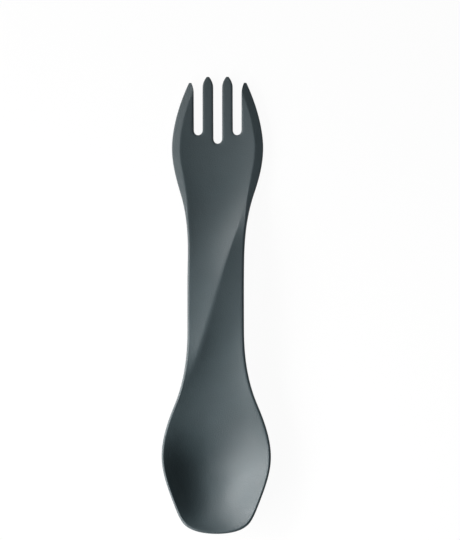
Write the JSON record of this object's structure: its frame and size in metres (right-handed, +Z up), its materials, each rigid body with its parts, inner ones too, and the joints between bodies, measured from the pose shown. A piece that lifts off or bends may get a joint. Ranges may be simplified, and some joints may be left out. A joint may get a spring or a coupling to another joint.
{
  "type": "spork",
  "caption": "Moulded spork: squared spoon bowl at one end, bevelled fork with pointed tines at the other, flat handle between them crossed by a low diagonal ridge.",
  "frame": {"origin": "on the table under the part, half way along its length and half way across its width", "axes": "+X to the right across the part seen from above with the fork away from the viewer, +Y along the part from the spoon's lip towards the tips of the tines, +Z up out of the spoon's hollow"},
  "size_m": [0.0372, 0.156, 0.0132],
  "materials": {
    "nylon": "satin slate-grey moulded nylon"
  },
  "bodies": {
    "root": {"spoon_bowl": "nylon", "handle": "nylon", "fork_head": "nylon", "outer_tine_left": "nylon", "inner_tine_left": "nylon", "inner_tine_right": "nylon", "outer_tine_right": "nylon"}
  },
  "joints": []
}
